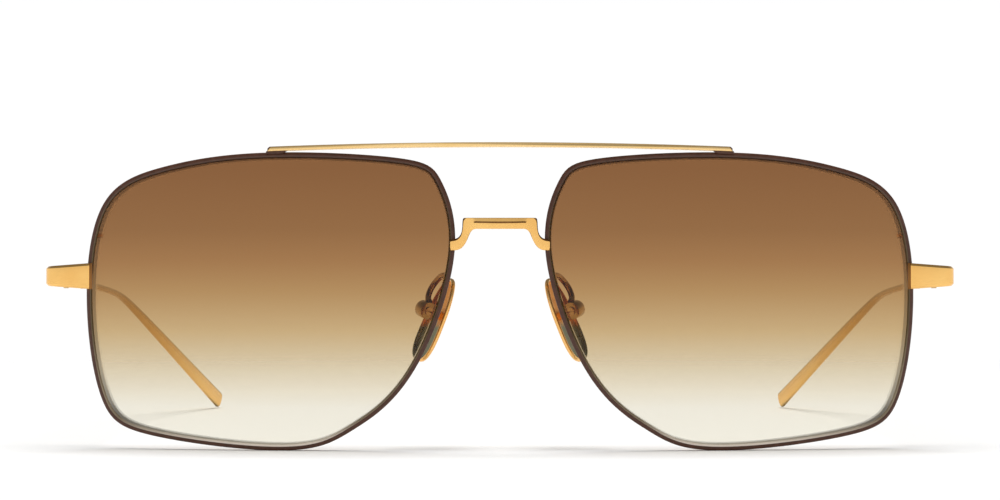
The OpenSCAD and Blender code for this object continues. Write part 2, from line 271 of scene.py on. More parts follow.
def mirrored(piece, piece_name):
    """The left twin of a right piece, with its own mesh turned the right way out."""
    twin = copy_of(piece, piece_name)
    twin.data.transform(Matrix.Scale(-1, 4, (1, 0, 0)))
    twin.data.flip_normals()
    twin.data.update()
    return twin


def refined(node, piece_name, bevel):
    """A copy of a machined CAD piece with its edges eased."""
    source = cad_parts[node]
    twin = source.copy()
    twin.data = source.data.copy()
    twin.parent = None
    twin.matrix_world = Matrix.Identity(4)
    for key in list(twin.keys()):
        del twin[key]
    twin.name = piece_name
    twin.data.name = piece_name
    bpy.context.collection.objects.link(twin)
    with editing(twin, "VERT"):
        bpy.ops.mesh.remove_doubles(threshold=0.002 * MM)
        bpy.ops.mesh.dissolve_limited(angle_limit=math.radians(1))
    soften(twin, bevel, 2)
    return twin


# ---------------------------------------------------------------- shader helpers

class Value:
    """A number socket that takes part in Python expressions by adding Math nodes."""

    def __init__(self, board, socket):
        self.board = board
        self.socket = socket

    def _math(self, operation, *others):
        return self.board.node("ShaderNodeMath", {"operation": operation}, self, *others)

    def __add__(self, other):
        return self._math("ADD", other)

    __radd__ = __add__

    def __mul__(self, other):
        return self._math("MULTIPLY", other)

    def __rsub__(self, other):
        return self.board.node("ShaderNodeMath", {"operation": "SUBTRACT"}, other, self)

    def __truediv__(self, other):
        return self._math("DIVIDE", other)

    def between(self, low, high):
        """0 below low, 1 above high, straight between."""
        settings = {"clamp": True, "interpolation_type": "LINEAR"}
        return self.board.node("ShaderNodeMapRange", settings, self, low, high, 0.0, 1.0)


class Board:
    """The nodes of one material, or of the studio's surroundings."""

    def __init__(self, owner, output_kind):
        self.owner = owner
        owner.use_nodes = True
        self.tree = owner.node_tree
        self.tree.nodes.clear()
        self.output = self.tree.nodes.new(output_kind)

    def plug(self, socket, value):
        if value is None:
            return
        if isinstance(value, Value):
            value = value.socket
        if isinstance(value, bpy.types.NodeSocket):
            self.tree.links.new(value, socket)
        else:
            socket.default_value = value

    def node(self, kind, settings, *values, out=0, **named_values):
        """Adds a node: its settings first, then the values or links of its sockets."""
        made = self.tree.nodes.new(kind)
        stops = settings.get("stops")
        for key, value in settings.items():
            if key != "stops":
                setattr(made, key, value)
        if stops:
            ramp = made.color_ramp
            while len(ramp.elements) < len(stops):
                ramp.elements.new(1.0)
            for element, (position, colour) in zip(ramp.elements, stops):
                element.position = position
                element.color = colour
        for socket, value in zip(made.inputs, values):
            self.plug(socket, value)
        for key, value in named_values.items():
            self.plug(made.inputs[key.replace("_", " ")], value)
        return Value(self, made.outputs[out])

    def place(self):
        """Object coordinates in metres."""
        return self.node("ShaderNodeTexCoord", {}, out=3)

    def place_along(self, axis):
        """One object coordinate, 0 to 2 for x to z, in millimetres."""
        return self.node("ShaderNodeSeparateXYZ", {}, self.place(), out=axis) / MM

    def noise(self, size_mm, detail=2.0, rough=0.5, stretch=(1, 1, 1)):
        """Soft random value between 0 and 1 with lumps of about the given size."""
        where = self.node("ShaderNodeMapping", {"vector_type": "POINT"}, self.place(),
                          (0, 0, 0), (0, 0, 0), stretch)
        return self.node("ShaderNodeTexNoise", {}, Vector=where, Scale=1.0 / (size_mm * MM),
                         Detail=detail, Roughness=rough)

    def blend(self, factor, first, second):
        """Colour between first and second."""
        number_and_vector_sockets = [None] * 5
        return self.node("ShaderNodeMix", {"data_type": "RGBA"}, factor,
                         *number_and_vector_sockets, first, second, out=2)

    def bump(self, height, distance_mm, strength=1.0):
        return self.node("ShaderNodeBump", {}, Strength=strength, Distance=distance_mm * MM,
                         Height=height)

    def surface(self, **values):
        """The Principled surface, plugged into the output."""
        return self.finish(self.node("ShaderNodeBsdfPrincipled", {}, **values))

    def finish(self, shader):
        self.plug(self.output.inputs["Surface"], shader)
        return self.owner


def new_board(material_name):
    return Board(bpy.data.materials.new(material_name), "ShaderNodeOutputMaterial")


def rgb(r, g, b):
    return (r, g, b, 1.0)


# ---------------------------------------------------------------- finishes

EDGE_SHADE = "edge_shade"


def plating(board, pale, deep):
    """Slow drift between two golds, and the grain of the polishing lines."""
    drift = board.noise(6.0, 2.0)
    grain = board.noise(0.05, 3.0, 0.6, (1, 0.12, 1))
    return board.blend(drift.between(0.3, 0.7), rgb(*pale), rgb(*deep)), grain


def gold_finish(material_name, pale, deep, roughness):
    """Plated metal: fine polishing lines, slow colour drift, faint rubbed patches."""
    board = new_board(material_name)
    colour, grain = plating(board, pale, deep)
    rubbed = board.noise(0.9, 4.0, 0.65).between(0.52, 0.78)
    colour = board.blend(rubbed * 0.25, colour, rgb(pale[0], pale[1] * 0.96, pale[2] * 0.9))
    rough = roughness + grain * 0.08 + rubbed * 0.06
    return board.surface(Base_Color=colour, Metallic=1.0, Roughness=rough,
                         Normal=board.bump(grain, 0.002, 0.35))


def temple_plating_and_shade():
    """The same plating along a temple, with painted shade: darker on its slim part, shadowed at its
    upper edge and under its tip.
    """
    board = new_board("temple_gold")
    along = board.place_along(1)
    edge = board.node("ShaderNodeAttribute", {"attribute_name": EDGE_SHADE}, out=2)
    colour, grain = plating(board, (0.92, 0.58, 0.2), (0.87, 0.51, 0.16))
    # Painted shade: the slim part of the blade is given a darker gold.
    colour = board.blend(along.between(22.0, 62.0), rgb(0.6, 0.42, 0.17), colour)
    # Painted shade along the upper edge and under the tip, taken from the edge_shade attribute.
    colour = board.blend(edge.between(0.0, 1.0), colour, rgb(0.44, 0.35, 0.15))
    return board.surface(Base_Color=colour, Metallic=1.0, Roughness=0.17 + grain * 0.08,
                         Normal=board.bump(grain, 0.002, 0.35))


def enamel_finish():
    """Dark brown fired enamel under a clear gloss, with the faintest waviness."""
    board = new_board("brown_enamel")
    wave = board.noise(0.8, 2.0)
    fleck = board.noise(0.06, 1.0).between(0.62, 0.75)
    colour = board.blend(wave.between(0.35, 0.65), rgb(0.066, 0.024, 0.012), rgb(0.088, 0.034, 0.019))
    colour = board.blend(fleck * 0.35, colour, rgb(0.13, 0.07, 0.05))
    return board.surface(Base_Color=colour, Roughness=0.38 + fleck * 0.1, Specular_IOR_Level=0.3,
                         Coat_Weight=0.1, Coat_Roughness=0.1, Normal=board.bump(wave, 0.006, 0.4))


def seat_painted_light():
    """Bare bevelled lens seat inside the rim, its metal painted with light and shade: darker above
    and paler towards the bottom.
    """
    board = new_board("lens_seat_metal")
    height = board.place_along(2)
    grain = board.noise(0.12, 3.0, 0.6)
    # Painted light towards the bottom of the seat and painted shade higher up; the grain mixed in
    # below is the metal's own.
    colour = board.blend(height.between(1.0, 5.0), rgb(0.97, 0.88, 0.8), rgb(0.36, 0.29, 0.2))
    colour = board.blend(height.between(8.0, 20.0), colour, rgb(0.12, 0.085, 0.04))
    colour = board.blend(height.between(36.0, 45.0), colour, rgb(0.09, 0.05, 0.035))
    colour = board.blend(grain * 0.15, colour, rgb(0.3, 0.25, 0.19))
    return board.surface(Base_Color=colour, Metallic=height.between(1.0, 6.0) * 0.5,
                         Roughness=0.36 + grain * 0.14)


def steel_finish():
    """Turned screw metal with fine rings and a warm cast."""
    board = new_board("screw_metal")
    grain = board.noise(0.04, 2.0, 0.6, (1, 1, 0.2))
    dirt = board.noise(0.3, 3.0).between(0.5, 0.8)
    colour = board.blend(dirt, rgb(0.74, 0.66, 0.52), rgb(0.5, 0.42, 0.3))
    return board.surface(Base_Color=colour, Metallic=1.0, Roughness=0.26 + grain * 0.2,
                         Normal=board.bump(grain, 0.002, 0.4))


def pad_dish_shaded():
    """Hollow of a nose pad: amber above, falling off to a painted shade of dark olive in its lower
    part.
    """
    board = new_board("pad_dish")
    height = board.place_along(2)
    drift = board.noise(1.6, 3.0)
    colour = board.blend(drift.between(0.3, 0.7), rgb(0.88, 0.36, 0.05), rgb(0.74, 0.26, 0.03))
    # Painted shade: the lower part of the hollow turns dark olive.
    shade = (height + drift * 1.2).between(20.6, 21.6)
    colour = board.blend(shade, rgb(0.21, 0.2, 0.1), colour)
    return board.surface(Base_Color=colour, Metallic=0.9, Roughness=0.24 + drift * 0.1)


def lens_finish():
    """Tinted lens: deep brown above fading to almost clear cream below, thin gloss on top."""
    board = new_board("gradient_lens")
    height = board.place_along(2)
    # Height and tint through both faces of the lens, from the top down.
    tints = [
        (46.0, (0.250, 0.112, 0.042)), (36.0, (0.288, 0.138, 0.050)),
        (31.0, (0.350, 0.176, 0.064)), (26.0, (0.435, 0.255, 0.102)),
        (19.5, (0.565, 0.400, 0.200)), (13.0, (0.690, 0.595, 0.425)),
        (7.0, (0.800, 0.765, 0.665)), (2.0, (0.850, 0.825, 0.730)),
    ]
    shader, below = None, None
    for z, tint in tints:
        one_side = rgb(*(math.sqrt(c) for c in tint))
        film = board.node("ShaderNodeBsdfTransparent", {}, Color=one_side)
        if shader:
            film = board.node("ShaderNodeMixShader", {}, height.between(below, z), shader, film)
        shader, below = film, z
    gloss = board.node("ShaderNodeBsdfGlossy", {}, Color=rgb(0.9, 0.9, 0.9), Roughness=0.03)
    facing = board.node("ShaderNodeFresnel", {}, IOR=1.45)
    return board.finish(board.node("ShaderNodeMixShader", {}, facing * 0.55, shader, gloss))


gold = gold_finish("polished_gold", (0.92, 0.56, 0.185), (0.87, 0.49, 0.145), 0.16)
# Painted sheen: a paler copy of the gold, for the top bar.
pale_gold = gold_finish("pale_gold", (0.95, 0.67, 0.31), (0.92, 0.62, 0.26), 0.2)
temple_gold = temple_plating_and_shade()
satin_gold = gold_finish("satin_gold", (0.78, 0.50, 0.22), (0.68, 0.40, 0.15), 0.3)
pad_gold = gold_finish("pad_gold", (0.90, 0.56, 0.22), (0.86, 0.46, 0.14), 0.12)
pad_dish = pad_dish_shaded()
# Dark gold: the soldered joint on the end piece's ledge, and painted shade in the bridge's groove and
# on its legs' outlines.
solder_and_shade = gold_finish("solder_gold", (0.34, 0.16, 0.055), (0.25, 0.11, 0.03), 0.34)
# Painted shade: a darker copy of the gold, for the pad boxes and pad arms.
box_gold = gold_finish("box_gold", (0.52, 0.34, 0.14), (0.4, 0.25, 0.09), 0.13)
fastener_gold = gold_finish("fastener_gold", (0.62, 0.42, 0.2), (0.5, 0.3, 0.12), 0.2)
enamel = enamel_finish()
lens_seat = seat_painted_light()
screw_metal = steel_finish()
lens_tint = lens_finish()


def finish_with(piece, *materials):
    piece.data.materials.clear()
    for material in materials:
        piece.data.materials.append(material)


def assign_faces(piece, slot_of):
    """Gives each face the material number that slot_of returns for its middle and normal."""
    for face in piece.data.polygons:
        face.material_index = slot_of(face)


def hand_over(piece, body, slot, *nodes):
    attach(piece, body)
    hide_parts(*nodes)


# ---------------------------------------------------------------- rims and lenses

# Rim wire section: distance outwards from the outline, distance back from its middle.
RIM_SECTION = [
    (0.0, 0.62), (0.0, -0.50), (-0.02, -0.66), (-0.08, -0.77), (-0.18, -0.83), (-0.33, -0.87),
    (-0.50, -0.88), (-0.62, -0.87), (-0.69, -0.84), (-0.93, -0.60), (-0.95, -0.54), (-0.95, -0.33),
    (-0.62, -0.31), (-0.62, 0.31), (-0.95, 0.33), (-0.95, 0.62), (-0.90, 0.76), (-0.78, 0.84),
    (-0.62, 0.86), (-0.30, 0.86), (-0.14, 0.83), (-0.05, 0.76),
]
ENAMEL_SPAN = range(0, 8)
SEAT_SPAN = range(8, 15)


def rim_piece():
    rings = []
    for point, outward in STATIONS:
        ring = []
        for out, back in RIM_SECTION:
            spot = point + outward * out
            ring.append(on_curve(spot.x, spot.y, back))
        rings.append(ring)
    piece = closed_sweep("rim_right_wire", rings)
    finish_with(piece, gold, enamel, lens_seat)
    count = len(RIM_SECTION)

    def slot_of(face):
        columns = sorted({v % count for v in face.vertices})
        first = columns[0] if columns[1] - columns[0] == 1 else columns[1]
        return 1 if first in ENAMEL_SPAN else 2 if first in SEAT_SPAN else 0

    assign_faces(piece, slot_of)
    smooth(piece, 45)
    return piece


LENS_RINGS = (1.0, 0.985, 0.94, 0.86, 0.74, 0.6, 0.45, 0.3, 0.15)


def lens_piece():
    """Domed lens: the outline drawn in rings to its middle, then given its thickness."""
    deselect()
    steps = len(STATIONS)
    shift = -RIM_WIDTH - 0.01
    edge = [point + outward * shift for point, outward in STATIONS]
    middle = sum(edge, Vector((0, 0))) / steps
    bpy.ops.mesh.primitive_circle_add(vertices=steps, radius=MM, fill_type="NOTHING")
    piece = named("lens_right_glass")
    place_points(piece, [on_curve(*p) for p in edge])
    with editing(piece, "EDGE"):
        for near, far in zip(LENS_RINGS, LENS_RINGS[1:]):
            bpy.ops.mesh.extrude_region_move(TRANSFORM_OT_translate={"value": (0, 0, 0)})
            bpy.ops.transform.resize(value=(far / near,) * 3,
                                     center_override=on_curve(*middle) * MM)
        bpy.ops.mesh.edge_face_add()
        bpy.ops.mesh.poke()
    points = []
    for vertex in piece.data.vertices:
        spot = vertex.co / MM
        points.append(on_curve(spot.x, spot.z))
    place_points(piece, points)
    face_outwards(piece)
    apply_modifier(piece, "SOLIDIFY", thickness=LENS_THICKNESS * MM, offset=0.0,
                   use_even_offset=True)
    return piece


def hand_over_pair(right, body, slot, node):
    """Hands over a right piece and its mirrored left twin in place of their CAD nodes.
    A body named with right has a left one too."""
    left = mirrored(right, right.name.replace("right", "left"))
    hand_over(left, body.replace("right", "left"), slot, node.replace("right", "left"))
    hand_over(right, body, slot, node)


def make_rims_and_lenses():
    hand_over_pair(rim_piece(), "front", "enamel", "rim_right")
    lens = lens_piece()
    finish_with(lens, lens_tint)
    smooth(lens, 40)
    hand_over_pair(lens, "front", "lens_tint", "lens_right")


# ---------------------------------------------------------------- bridge and top bar

# Bridge from the foot on the rim to the middle of the beam: outer edge, then inner edge.
BRIDGE_STATIONS = [
    ((8.02, 34.38), (8.02, 32.65)), ((7.75, 34.44), (7.75, 32.65)), ((7.35, 34.5), (7.35, 32.65)),
    ((6.95, 34.66), (6.95, 32.7)), ((6.66, 34.88), (6.6, 32.82)), ((6.43, 35.2), (6.25, 33.05)),
    ((6.27, 35.6), (5.92, 33.38)), ((6.19, 36.0), (5.66, 33.75)), ((6.15, 36.4), (5.42, 34.2)),
    ((6.13, 36.8), (5.22, 34.65)), ((6.11, 37.3), (5.02, 35.1)), ((6.05, 37.72), (4.85, 35.5)),
    ((5.9, 37.93), (4.62, 35.82)), ((5.5, 37.95), (4.4, 36.02)), ((5.0, 37.95), (4.1, 36.12)),
    ((4.6, 37.95), (3.8, 36.15)), ((4.2, 37.95), (3.45, 36.15)), ((3.6, 37.95), (3.0, 36.15)),
    ((2.4, 37.95), (2.0, 36.15)), ((1.2, 37.95), (1.0, 36.15)), ((0.0, 37.95), (0.0, 36.15)),
]
BEAM_START = 13
GROOVE_START = 16
LEG_CHAMFER, BEAM_CHAMFER = 0.3, 0.07
GROOVE_TOP, GROOVE_BOTTOM, GROOVE_DEPTH = 0.62, 0.9, 0.32


def bridge_ring(outer, inner, chamfer, groove, inset=0.0, shift=0.0):
    """Section of the bridge between its two edges, chamfered above and grooved along the beam.
    The part above the groove leans back a little and the part below it rolls under."""
    outer, inner = Vector(outer), Vector(inner)
    width = (inner - outer).length - 2 * inset
    down = (inner - outer).normalized()
    depth = bridge_high.y - bridge_low.y - 2 * inset
    lean = 0.06 * groove
    top, bottom = GROOVE_TOP - inset, GROOVE_BOTTOM - inset
    section = [
        (0.0, chamfer + 0.05 + lean), (0.012, chamfer - 0.01 + lean),
        (chamfer - 0.03, 0.025 + lean), (chamfer + 0.01, lean), (top, 0.0),
        (top + 0.07, GROOVE_DEPTH * groove), (bottom - 0.07, GROOVE_DEPTH * groove), (bottom, 0.0),
        (width - 0.3, 0.02 * groove), (width - 0.1, 0.06), (width - 0.02, 0.13), (width, 0.22),
        (width, depth - 0.12), (width - 0.12, depth), (0.12, depth), (0.0, depth - 0.12),
    ]
    ring = []
    for u, v in section:
        spot = outer + down * (u + inset)
        ring.append((spot.x + shift, bridge_low.y + inset + v, spot.y))
    return ring


def bridge_piece():
    foot = BRIDGE_STATIONS[0]
    rounded_end = [(0.1, 0.13), (0.03, 0.09)]
    half = [bridge_ring(*foot, LEG_CHAMFER, 0, inset, shift) for inset, shift in rounded_end]
    for k, (outer, inner) in enumerate(BRIDGE_STATIONS):
        chamfer = LEG_CHAMFER if k < BEAM_START else BEAM_CHAMFER
        half.append(bridge_ring(outer, inner, chamfer, 1.0 if k >= GROOVE_START else 0.0))
    other = [[(-x, y, z) for x, y, z in ring] for ring in reversed(half[:-1])]
    piece = open_sweep("bridge_gold", half + other)
    finish_with(piece, gold, solder_and_shade)
    # Painted shade: the groove floor and the legs' outer chamfers and sides take the dark gold.
    assign_faces(piece, lambda face: 1 if is_groove_floor(face) or is_leg_outline(face) else 0)
    smooth(piece, 24)
    return piece


# Floor of the beam's groove, which takes painted shade.
def is_groove_floor(face):
    middle = face.center / MM
    return (abs(middle.x) < 4.3 and 0.1 < middle.y - bridge_low.y < 0.5
            and 37.0 < middle.z < 37.36)


def is_leg_outline(face):
    """The legs' outer chamfer and side, and the beam's two top corners, which take painted shade."""
    x, y = abs(face.center.x) / MM, face.center.y / MM
    outwards = face.normal.x * face.center.x > 0
    return outwards and x > 5.75 and face.normal.y > -0.93 and y < bridge_low.y + 0.6


BAR_HEIGHT, BAR_ARCH_RADIUS, BAR_STEPS = 0.75, 970.0, 48
BAR_END_X = bar_high.x + 0.22
BAR_CORNER = 0.3
BAR_CORNER_X = BAR_END_X - BAR_CORNER


def top_bar_piece():
    """Flat bar with a slight arch; its end corners are cut back, and their cut faces take the dark
    enamel as painted shade.
    """
    def arch(x, down):
        rise = math.sqrt(BAR_ARCH_RADIUS ** 2 - x * x) - BAR_ARCH_RADIUS
        return bar_high.z - down + rise

    xs = [BAR_CORNER_X * (1 - 2 * k / BAR_STEPS) for k in range(BAR_STEPS + 1)]
    corner_z, under_z = arch(BAR_END_X, BAR_CORNER * 0.9), arch(BAR_END_X, BAR_HEIGHT)
    outline = [(BAR_END_X, corner_z)] + [(x, arch(x, 0)) for x in xs]
    outline += [(-BAR_END_X, corner_z), (-BAR_END_X, under_z)]
    outline += [(x, arch(x, BAR_HEIGHT)) for x in reversed(xs)] + [(BAR_END_X, under_z)]
    depth = bar_high.y - bar_low.y
    piece = plate("top_bar_gold", outline, lambda x, z: (x, bar_low.y, z), (0, depth, 0))
    finish_with(piece, pale_gold, enamel)
    soften(piece, 0.05)
    cut_z = arch(BAR_END_X, 0.28)
    for side in (1, -1):
        bisect_away(piece, (side * BAR_CORNER_X, bar_low.y, cut_z), (side * 0.62, -0.5, 0.6))
    # Painted shade: the upward-facing cut corner faces take the dark enamel.
    assign_faces(piece, lambda face: 1 if is_bar_corner(face) else 0)
    return piece


def is_bar_corner(face):
    return (abs(face.center.x / MM) > BAR_CORNER_X - 0.35 and face.normal.z > 0.25
            and abs(face.normal.x) > 0.3)


def bar_pad_piece():
    low, high = (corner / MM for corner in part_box("bar_pad_right"))
    outline = [(low.x + 1.1, low.z + 0.05), (high.x + 0.25, low.z - 0.05),
               (high.x + 0.1, high.z - 0.15), (low.x + 0.3, high.z - 0.02)]
    piece = plate("bar_pad_right_enamel", outline, lambda x, z: (x, low.y - 0.1, z),
                  (0, high.y - low.y, 0))
    finish_with(piece, enamel)
    soften(piece, 0.08)
    return piece


def make_bridge_and_bar():
    hand_over(bridge_piece(), "front", "gold_metal", "bridge")
    hand_over(top_bar_piece(), "front", "gold_metal", "top_bar")
    hand_over_pair(bar_pad_piece(), "front", "enamel", "bar_pad_right")


# ---------------------------------------------------------------- end pieces and hinges

ARM_THICKNESS = 1.2
HINGE_Z = 28.5
HEAD_SEAT_Z, HEAD_SHARE = HINGE_Z + 1.6, 0.62
END_CORNER_RADIUS, END_CORNER_Y = 2.6, FRONT_Y + 9.7
END_HALF_HEIGHT, END_TAPER, END_CHAMFER = 2.15, 0.55, 0.36
SOLDER_LEDGE = 0.36


def end_piece():
    """Block that laps the rim and turns back to the hinge, tapered and chamfered."""
    lap_x, outer_x = end_low.x, end_high.x
    radius = END_CORNER_RADIUS
    corner = Vector((outer_x - radius, END_CORNER_Y))
    inner_x = outer_x - ARM_THICKNESS
    inner_y = FRONT_Y + 9.85
    ledge_x = lap_x - SOLDER_LEDGE
    outline = [(ledge_x, FRONT_Y + 6.78), (lap_x, FRONT_Y + 6.7), (lap_x, FRONT_Y + 6.15)]
    for k in range(17):
        turn = math.radians(-90 + 90 * k / 16)
        outline.append(tuple(corner + radius * Vector((math.cos(turn), math.sin(turn)))))
    outline += [(outer_x, end_high.y), (inner_x, end_high.y), (inner_x, inner_y + 0.6),
                (inner_x - 0.2, inner_y + 0.15), (inner_x - 0.7, inner_y), (70.3, inner_y),
                (70.3, FRONT_Y + 8.2), (ledge_x, FRONT_Y + 8.2)]
    height = 3.0
    piece = plate("end_piece_right_gold", outline, lambda x, y: (x, y, HINGE_Z - height),
                  (0, 0, 2 * height))
    run = outer_x - lap_x
    for side in (1, -1):
        slope = Vector((END_TAPER, 0, side * run)).normalized()
        bisect_away(piece, (lap_x, FRONT_Y, HINGE_Z + side * END_HALF_HEIGHT), slope)
    pick_edges(piece, lambda middle, along: abs(middle.z - HINGE_Z) > 1.3 and
               abs(along.z) < 0.3 * along.length and is_outer_edge(middle, lap_x, outer_x))
    with editing(piece, "EDGE", everything=None):
        bpy.ops.mesh.bevel(offset=END_CHAMFER * MM, segments=1)
    finish_with(piece, gold, solder_and_shade)
    soften(piece, 0.09)
    assign_faces(piece, lambda face: 1 if face.center.x / MM < lap_x - 0.02 else 0)
    return piece


def is_outer_edge(middle, lap_x, outer_x):
    """True on the long edges that show from the front and the outer side."""
    on_front = middle.x > lap_x + 0.1 and middle.y < FRONT_Y + 7.05
    corner_x = outer_x - END_CORNER_RADIUS
    from_corner = math.hypot(middle.x - corner_x, middle.y - END_CORNER_Y)
    on_corner = middle.x > corner_x and middle.y < END_CORNER_Y and from_corner > 2.3
    return on_front or on_corner or middle.x > outer_x - 0.05


def make_end_pieces_and_hinges():
    hand_over_pair(end_piece(), "front", "gold_metal", "end_piece_right")
    machined = [
        ("closing_block_upper_right", "front", "hinge_metal", satin_gold, 0.07),
        ("closing_block_lower_right", "front", "hinge_metal", satin_gold, 0.07),
        ("closing_screw_right", "front", "screw_metal", fastener_gold, 0.04),
        ("hinge_knuckles_right", "front", "hinge_metal", satin_gold, 0.06),
        ("hinge_screw_right", "front", "screw_metal", fastener_gold, 0.04),
        ("temple_knuckle_right", "temple_right_arm", "hinge_metal", satin_gold, 0.06),
        ("pad_box_right", "front", "gold_metal", box_gold, 0.24),
        ("pad_screw_right", "front", "screw_metal", fastener_gold, 0.12),
    ]
    for node, body, slot, material, bevel in machined:
        piece = refined(node, node + "_eased", bevel)
        if node == "hinge_screw_right":
            flatten_head(piece)
        finish_with(piece, material)
        hand_over_pair(piece, body, slot, node)


def flatten_head(screw):
    """Lowers the hinge screw's head so that it stays hidden behind the end piece."""
    for vertex in screw.data.vertices:
        above = vertex.co.z / MM - HEAD_SEAT_Z
        if above > 0:
            vertex.co.z = (HEAD_SEAT_Z + above * HEAD_SHARE) * MM


# ---------------------------------------------------------------- temples

HINGE_Y = FRONT_Y + 14.6
BEND_Y = HINGE_Y + 76.0
TIP_Y = temple_high.y
BLADE_START = temple_low.y
BEND_SOFTNESS = 6.5
SPLAY, TOE, FALL, DROP = 0.027, 0.31, 0.042, 0.525
HEIGHT_HINGE, HEIGHT_SLIM, HEIGHT_TIP = 3.0, 1.1, 3.5
NECK_LENGTH = 14.0
TIP_ROUNDING = 0.6
TIP_FLAT_HEIGHT, TIP_FLAT_WIDTH = 0.42, 0.45
BLADE_STEPS = 110
PADDLE_START = BEND_Y - 6.0
TIP_LEAN = 1 / math.sqrt(1 + DROP * DROP)
TIP_CUT = HEIGHT_TIP * DROP * TIP_LEAN


def past_bend(y):
    t = y - BEND_Y
    return (t + math.hypot(t, BEND_SOFTNESS)) / 2


def temple_side(y):
    start = end_high.x - ARM_THICKNESS / 2
    return start + SPLAY * (y - HINGE_Y) - (TOE + SPLAY) * (past_bend(y) - past_bend(HINGE_Y))


def blade_edge(y, side):
    """Height of the blade's upper (side 1) or lower (side -1) edge before it meets the ground."""
    middle = HINGE_Z - FALL * (y - HINGE_Y) - (DROP - FALL) * (past_bend(y) - past_bend(HINGE_Y))
    neck = max(0.0, 1 - (y - HINGE_Y) / NECK_LENGTH)
    paddle = max(0.0, (y - PADDLE_START) / (TIP_Y - PADDLE_START))
    height = HEIGHT_SLIM + (HEIGHT_HINGE - HEIGHT_SLIM) * neck * neck * (3 - 2 * neck)
    height += (HEIGHT_TIP - HEIGHT_SLIM) * paddle
    share = min(1.0, past_bend(y) / 12)
    return middle + side * height / 2 * (share / TIP_LEAN + 1 - share)


def settled(y, z):
    """Spreads the last bit of height along the temple so that the tip meets the ground."""
    end = TIP_Y - TIP_CUT
    return z - blade_edge(end, -1) * (y - BLADE_START) / (end - BLADE_START)


# Blade section, crowned on both faces: sideways and upwards as shares of half its size.
BLADE_SECTION = [
    (math.copysign(abs(math.cos(a)) ** 0.62, math.cos(a)),
     math.copysign(abs(math.sin(a)) ** 0.9, math.sin(a)))
    for a in (math.tau * k / 24 for k in range(24))
]


def temple_piece():
    low_run = TIP_Y - TIP_CUT - BLADE_START
    top_run = TIP_Y - BLADE_START
    round_share = TIP_ROUNDING / top_run
    shares = [k / BLADE_STEPS for k in range(BLADE_STEPS - 1)]
    shares += [1 - round_share * (1 - math.sin(math.radians(a))) for a in range(0, 91, 9)]
    rings = []
    for share in shares:
        past = max(0.0, 1 - (1 - share) / round_share)
        tall = max((1 - past ** 3.2) ** 0.4 if past < 1 else 0.0, TIP_FLAT_HEIGHT)
        thick = max((1 - past ** 4) ** 0.5 if past < 1 else 0.0, TIP_FLAT_WIDTH)
        y_low = BLADE_START + share * low_run
        y_top = BLADE_START + share * top_run
        z_low = settled(y_low, blade_edge(y_low, -1))
        z_top = settled(y_top, blade_edge(y_top, 1))
        ring = []
        for side, up in BLADE_SECTION:
            f = 0.5 + up * tall / 2
            y = y_low + (y_top - y_low) * f
            ring.append((temple_side(y) + side * thick * ARM_THICKNESS / 2, y,
                         z_low + (z_top - z_low) * f))
        rings.append(ring)
    piece = open_sweep("temple_right_blade", rings)
    finish_with(piece, temple_gold)
    shade_edges(piece)
    smooth(piece, 35)
    return piece


def shade_edges(piece):
    """Marks how much painted shade each point of the blade gets: along the upper edge, and under the
    tip.
    """
    shade = piece.data.attributes.new(EDGE_SHADE, "FLOAT", "POINT")
    for vertex in piece.data.vertices:
        y, z = vertex.co.y / MM, vertex.co.z / MM
        below_top = settled(y, blade_edge(y, 1)) - z
        above_low = z - settled(y, blade_edge(y, -1)) + 0.08 * (TIP_Y - y)
        upper = 1.15 - below_top / 0.75
        lower = 1.1 - above_low / 0.6
        shade.data[vertex.index].value = min(1.0, max(0.0, upper, lower))


def make_temples():
    hand_over_pair(temple_piece(), "temple_right_arm", "gold_metal", "temple_right")


# ---------------------------------------------------------------- nose pads and their arms

PAD_CENTRE = Vector((10.3, FRONT_Y + 8.5, 21.05))
PAD_HEIGHT = 14.8
PAD_WIDTH = 7.2
PAD_REACH = 2.8
PAD_PIN_UP = 0.95
PAD_EYE_RADIUS = 0.88
AT_PAD = (Matrix.Translation(PAD_CENTRE) @ Matrix.Rotation(math.radians(-23), 4, "Y")
          @ Matrix.Rotation(math.radians(-27), 4, "Z"))

# Nose pad from the middle of its nose side to the middle of its hollow back:
# distance in from the pad's edge, or None at the middle, and depth away from the nose.
PAD_PROFILE = [
    (None, 0.0), (2.6, 0.0), (1.9, 0.02), (1.2, 0.06), (0.7, 0.13), (0.32, 0.24), (0.1, 0.38),
    (0.0, 0.54), (0.0, 0.72), (0.06, 0.88), (0.18, 0.98), (0.34, 1.0), (0.48, 0.96), (0.56, 0.84),
    (0.6, 0.66), (0.72, 0.52), (1.1, 0.46), (2.2, 0.45), (None, 0.45),
]


def pad_spot(angle, inset, depth):
    """Point on the pad at a turn, an inset from its edge and a depth, in millimetres."""
    turn = math.radians(angle)
    c, s = math.cos(turn), math.sin(turn)
    if inset is None:
        return AT_PAD @ Vector((depth, 0, 0))
    half_width = PAD_WIDTH / 2 - inset
    half_height = PAD_HEIGHT / 2 - inset
    across = half_width * math.copysign(abs(c) ** 0.8, c) * (1 - 0.25 * s)
    up = half_height * math.copysign(abs(s) ** 0.8, s)
    return AT_PAD @ Vector((depth, across, up))


def pad_piece():
    piece = closed_shell("nose_pad_right_dish", 72, PAD_PROFILE, pad_spot)
    finish_with(piece, pad_gold, pad_dish)
    back = (AT_PAD.to_3x3() @ Vector((1, 0, 0))).normalized()

    def slot_of(face):
        local = AT_PAD.inverted() @ (face.center / MM)
        hollow = face.normal.dot(back) > 0.3 and 0.4 < local.x < 0.75
        # Painted shade: the pad's far lip takes the hollow's shaded colour instead of the gold.
        far_lip = local.x > 0.55 and local.y > 0.8
        return 1 if hollow or far_lip else 0

    assign_faces(piece, slot_of)
    smooth(piece, 50)
    return piece


